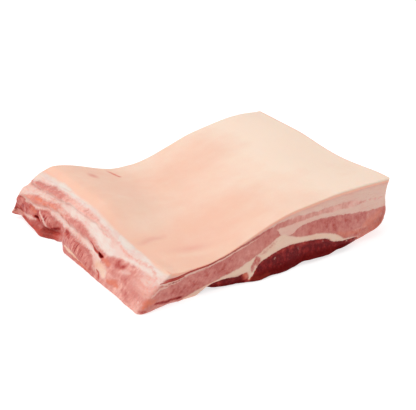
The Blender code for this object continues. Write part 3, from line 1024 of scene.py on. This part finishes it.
class Nodes:
    """Short calls for building a material's nodes."""

    def __init__(self, name):
        self.material = bpy.data.materials.new(name)
        self.material.use_nodes = True
        self.tree = self.material.node_tree
        self.shader = self.tree.nodes["Principled BSDF"]

    def set(self, socket, value):
        """Links a socket to another, or sets its value."""
        if isinstance(value, bpy.types.NodeSocket):
            self.tree.links.new(value, socket)
        else:
            socket.default_value = (*value, 1.0) if socket.type == "RGBA" and len(value) == 3 else value

    def add(self, kind, inputs=(), output=0, **settings):
        """An output of a new node, whose inputs are given in order or by their names or numbers."""
        node = self.tree.nodes.new("ShaderNode" + kind)
        for key, value in settings.items():
            setattr(node, key, value)
        given = inputs if isinstance(inputs, dict) else dict(enumerate(inputs))
        for key, value in given.items():
            self.set(node.inputs[key], value)
        return node.outputs[output]

    def shade(self, **inputs):
        """Sets the shader's inputs, with _ for each space in a name."""
        for name, value in inputs.items():
            self.set(self.shader.inputs[name.replace("_", " ")], value)

    def math(self, operation, *values, clamp=False):
        return self.add("Math", values, operation=operation, use_clamp=clamp)

    def times(self, first, second):
        return self.math("MULTIPLY", first, second)

    def plus(self, first, second, clamp=False):
        return self.math("ADD", first, second, clamp=clamp)

    def fma(self, value, factor, added, clamp=False):
        """The value times the factor, plus what is added."""
        return self.math("MULTIPLY_ADD", value, factor, added, clamp=clamp)

    def rest(self, value):
        """What is left of 1 once the value is taken."""
        return self.math("SUBTRACT", 1.0, value)

    def centred(self, noise):
        """A noise with 0 as its middle."""
        return self.math("SUBTRACT", noise, 0.5)

    def scaled(self, vector, scale):
        return self.add("VectorMath", (vector, scale), operation="MULTIPLY")

    def noise(self, vector, scale, detail=2.0, roughness=0.5, distortion=0.0):
        inputs = {"Vector": vector, "Scale": scale, "Detail": detail, "Roughness": roughness}
        return self.add("TexNoise", {**inputs, "Distortion": distortion}, "Fac")

    def range(self, value, low, high, out_low=0.0, out_high=1.0):
        inputs = (value, low, high, out_low, out_high)
        return self.add("MapRange", inputs, "Result", interpolation_type="SMOOTHSTEP")

    def blend(self, share, first, second, mode="MIX"):
        return self.add("Mix", {0: share, 6: first, 7: second}, 2, data_type="RGBA", blend_type=mode)

    def between(self, share, first, second):
        return self.add("Mix", {0: share, 2: first, 3: second}, data_type="FLOAT")

    def ramp(self, share, *stops):
        colour = self.add("ValToRGB", (share,))
        elements = colour.node.color_ramp.elements
        while len(elements) < len(stops):
            elements.new(0.5)
        for element, (position, tint) in zip(elements, stops):
            element.position = position
            element.color = (*tint, 1.0)
        return colour

    def parts(self, attribute):
        """The three values that an attribute holds."""
        vector = self.add("Attribute", output="Vector", attribute_name=attribute)
        return tuple(self.add("SeparateXYZ", (vector,)).node.outputs)


def srgb(*screen):
    """A colour given in 0 to 255 screen values."""
    return tuple(((c / 255 + 0.055) / 1.055) ** 2.4 if c > 10.3 else c / 255 / 12.92 for c in screen)


FAT = srgb(227, 188, 172)
FAT_WHITE = srgb(227, 210, 200)
FAT_PINK = srgb(226, 166, 152)
FAT_YELLOW = srgb(236, 202, 172)
LEAN_STOPS = (
    (0.0, srgb(231, 186, 172)),
    (0.14, srgb(228, 168, 154)),
    (0.3, srgb(209, 136, 124)),
    (0.5, srgb(196, 112, 102)),
    (0.7, srgb(174, 68, 59)),
    (0.85, srgb(142, 40, 40)),
    (1.0, srgb(106, 24, 28)),
)
LEAN_ORANGE = srgb(219, 120, 90)
# The reds that painted shade in gaps and hollows darkens the flesh to; the raw red also deepens the lip's
# real red.
RAW_RED = srgb(184, 62, 52)
SHADED_RED = srgb(92, 8, 6)
SKIN_LIGHT = srgb(240, 214, 194)
SKIN_PINK = srgb(234, 186, 163)
SKIN_EDGE_COLOUR = srgb(242, 172, 148)
SKIN_FOLD = srgb(223, 155, 140)
SKIN_RED = srgb(212, 100, 82)


def belly_material():
    """Skin, fat and lean, from what each point carries."""
    n = Nodes("raw_belly_looks")
    where = n.add("TexCoord", output="Object")
    grain_map = n.add("UVMap", uv_map="grain")
    edges = [*n.parts("cut_upper"), *n.parts("cut_lower")]
    redness_, warmth_, pale_ = n.parts("flesh_tone")
    shade_and_red_, yellow_, rosy_ = n.parts("flesh_shade_and_tone")
    white_, blush_and_glow_, fibres_ = n.parts("fat_tone_and_glow")
    pink_, wrinkle_, red_ = n.parts("skin_marks")

    broad = n.noise(where, 150.0)
    small = n.noise(where, 420.0, 3.0, 0.6)
    cloud = n.noise(where, 60.0, 3.0)
    mottle = n.noise(where, 210.0, 3.0, 0.6)
    pores = n.noise(where, 900.0, 2.0, 0.6)
    fibre = n.noise(n.scaled(grain_map, (95.0, 13.0, 0.0)), 1.0, 3.0, 0.7, 0.3)
    strand = n.noise(n.scaled(grain_map, (33.0, 6.0, 0.0)), 1.0, 2.0, 0.5, 0.8)
    around = n.centred(small)
    wobble = n.fma(small, 3.6, n.fma(broad, 3.0, -3.3))
    teeth = n.times(n.centred(fibre), n.fma(white_, -1.8, 2.4))
    comb = n.plus(wobble, teeth)
    blur = n.fma(white_, 1.3, 1.0)

    def passed(index, soft, amount):
        """0 above a layer's edge and 1 below it, over a softer edge where the fat is white."""
        return n.range(n.math("DIVIDE", n.fma(comb, amount, edges[index]), blur), -soft, soft)

    def lean_share(soft, amount):
        """1 in the lean, 0 in the fat, with edges this soft."""
        streak = n.times(passed(STREAK_TOP, soft, amount), n.rest(passed(STREAK_FOOT, soft, amount)))
        share = n.math("MAXIMUM", streak, passed(LEAN_TOP, soft, amount))
        share = n.times(share, n.rest(passed(LEAN_FOOT, soft * 1.2, amount)))
        return n.math("MAXIMUM", share, passed(LOWER_TOP, soft, amount))

    def patchy(share, spread):
        """A painted share with an uneven edge."""
        return n.range(n.fma(around, spread, share), 0.12, 0.8)

    skin_soft = n.fma(white_, 1.2, 0.7)
    skin_end = n.range(n.fma(wobble, 0.5, edges[SKIN_EDGE]), n.times(skin_soft, -1.0), skin_soft)
    lean = n.times(lean_share(0.9, 0.75), n.rest(n.times(patchy(pale_, 0.9), 0.9)))
    lean = n.math("MAXIMUM", lean, patchy(rosy_, 0.8))
    near_lean = lean_share(3.0, 0.8)

    # Fat: pale, pink beside the lean, with pink threads that run along the layers.
    threads = n.noise(n.scaled(grain_map, (10.0, 60.0, 0.0)), 1.0, 3.0, 0.65, 0.6)
    threads = n.range(threads, 0.48, 0.66)
    fat = n.blend(white_, FAT, FAT_WHITE)
    tint = n.plus(n.times(near_lean, 0.4), n.times(threads, 0.3))
    tint = n.plus(tint, n.range(cloud, 0.42, 0.72, 0.0, 0.35))
    tint = n.plus(tint, n.times(n.range(edges[SKIN_EDGE], 0.0, 4.5, 0.5, 0.0), n.rest(white_)))
    # The blush also holds painted warm glow in the left side's hollows.
    tint = n.plus(tint, n.times(blush_and_glow_, n.range(small, 0.3, 0.7, 0.15, 0.9)), clamp=True)
    fat = n.blend(tint, fat, FAT_PINK)
    fat = n.blend(n.times(yellow_, 0.8), fat, FAT_YELLOW)

    # Lean: fibres across the layers, with pale marbling.
    strands = n.fma(fibre, 0.4, n.math("SUBTRACT", strand, 0.7))
    tone = n.fma(strands, n.times(fibres_, 1.8), redness_)
    tone = n.fma(n.centred(mottle), 0.6, tone)
    tone = n.fma(n.centred(cloud), 0.5, tone)
    meat = n.ramp(tone, *LEAN_STOPS)
    meat = n.blend(n.times(warmth_, n.range(small, 0.25, 0.6, 0.45, 1.0)), meat, LEAN_ORANGE)
    flecks = n.range(n.noise(n.scaled(grain_map, (48.0, 70.0, 0.0)), 1.0, 4.0, 0.75, 1.4), 0.56, 0.7)
    meat = n.blend(n.times(flecks, n.range(redness_, 0.5, 0.9, 0.45, 0.14)), meat, FAT_PINK)

    flesh_colour = n.blend(lean, fat, meat)
    # Painted shade: gaps, hollows and the front's lower lean darken towards raw red and then a shaded deep
    # red; the lip's share is its real red.
    flesh_colour = n.blend(n.range(shade_and_red_, 0.0, 0.45, 0.0, 0.9), flesh_colour, RAW_RED, "DARKEN")
    flesh_colour = n.blend(n.range(shade_and_red_, 0.4, 1.0), flesh_colour, SHADED_RED)

    # Rind: peach, pinker to the left, with faint blotches and pores.
    blotch = n.noise(n.scaled(where, (13.0, 26.0, 20.0)), 1.0, 5.0, 0.6)
    flush = n.fma(n.centred(blotch), 0.95, pink_)
    flush = n.fma(n.centred(cloud), 0.4, flush)
    flush = n.fma(n.centred(pores), 0.35, flush, clamp=True)
    skin = n.blend(flush, SKIN_LIGHT, SKIN_PINK)
    skin = n.blend(n.times(wrinkle_, 0.8), skin, SKIN_FOLD)
    skin = n.blend(n.times(red_, 0.88), skin, SKIN_RED)
    rim = n.times(n.range(edges[SKIN_EDGE], -4.2, -1.6), n.fma(white_, -0.8, 0.85))
    skin = n.blend(rim, skin, SKIN_EDGE_COLOUR)

    # Shine: wet on the red lean, and duller on the rind and in the dark hollows.
    flesh_rough = n.range(n.fma(mottle, 0.6, small), 0.5, 1.1, 0.3, 0.5)
    skin_rough = n.range(pores, 0.3, 0.7, 0.44, 0.58)
    flesh_shine = n.times(n.between(lean, 0.12, n.range(redness_, 0.6, 0.95, 0.32, 0.08)), n.rest(shade_and_red_))

    # Bump: fibres on the lean, soft threads on the fat, and pores on the rind.
    meat_height = n.plus(n.times(fibre, 0.6), n.times(mottle, 0.9))
    fat_height = n.plus(n.times(threads, 0.2), n.times(small, 0.5))
    height = n.between(skin_end, n.times(pores, 0.12), n.between(lean, fat_height, meat_height))

    n.shade(
        Base_Color=n.blend(skin_end, skin, flesh_colour),
        Roughness=n.between(skin_end, skin_rough, flesh_rough),
        Specular_IOR_Level=n.between(skin_end, n.fma(pores, 0.1, 0.18), flesh_shine),
        Normal=n.add("Bump", {"Strength": 0.7, "Distance": 0.0008, "Height": height}, "Normal"),
        Subsurface_Weight=0.2,
        Subsurface_Radius=(1.0, 0.35, 0.2),
        Subsurface_Scale=0.003,
    )
    return n.material


material = belly_material()
for piece in (rind, flesh):
    piece.data.materials.append(material)
    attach(piece, "root")
    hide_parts("slab")


# Floor, light and camera, in metres.

WHITE = (1.0, 1.0, 1.0, 1.0)
FLOOR_HALF = 4.0
FLOOR_GREY = 0.45
FLOOR_GLOW = 0.7
WORLD_GLOW = 0.6
# Each lamp's name, place, size and watts.
LAMPS = (("key", (-1.2, 0.5, 1.2), 1.2, 9.5), ("top", (-0.3, 0.2, 2.2), 2.4, 22.0))
# The camera: its lens in millimetres, its place, and its tilt down and turn in degrees.
LENS = 103.87
CAMERA_AT = (-0.63414, -0.92254, 0.5526)
CAMERA_TILT = 25.34
CAMERA_TURN = -34.73


def pale_floor():
    half = FLOOR_HALF
    mesh = bpy.data.meshes.new("floor")
    corners = [(-half, -half, 0), (half, -half, 0), (half, half, 0), (-half, half, 0)]
    mesh.from_pydata(corners, [], [(0, 1, 2, 3)])
    n = Nodes("pale_floor")
    n.shade(Base_Color=(FLOOR_GREY,) * 3, Roughness=0.9, Specular_IOR_Level=0.1)
    n.shade(Emission_Color=WHITE, Emission_Strength=FLOOR_GLOW)
    mesh.materials.append(n.material)
    floor = linked("floor", mesh)


def soft_light():
    """An even pale world, and two soft lamps that look at the origin."""
    world = bpy.data.worlds.new("studio")
    bpy.context.scene.world = world
    world.use_nodes = True
    background = world.node_tree.nodes["Background"]
    background.inputs["Color"].default_value = WHITE
    background.inputs["Strength"].default_value = WORLD_GLOW
    for name, at, size, watts in LAMPS:
        light = bpy.data.lights.new(name, "AREA")
        light.size = size
        light.energy = watts
        lamp = linked(name, light)
        lamp.location = at
        lean = math.atan2(math.hypot(at[0], at[1]), at[2])
        lamp.rotation_euler = (lean, 0.0, math.atan2(at[1], at[0]) + math.pi / 2)


def camera():
    data = bpy.data.cameras.new("view")
    data.lens = LENS
    data.sensor_width = 36.0
    data.clip_end = 20.0
    made = linked("view", data)
    made.location = CAMERA_AT
    made.rotation_euler = (math.radians(90.0 - CAMERA_TILT), 0.0, math.radians(CAMERA_TURN))
    bpy.context.scene.camera = made


pale_floor()
soft_light()
camera()
bpy.context.scene.view_settings.view_transform = "Standard"
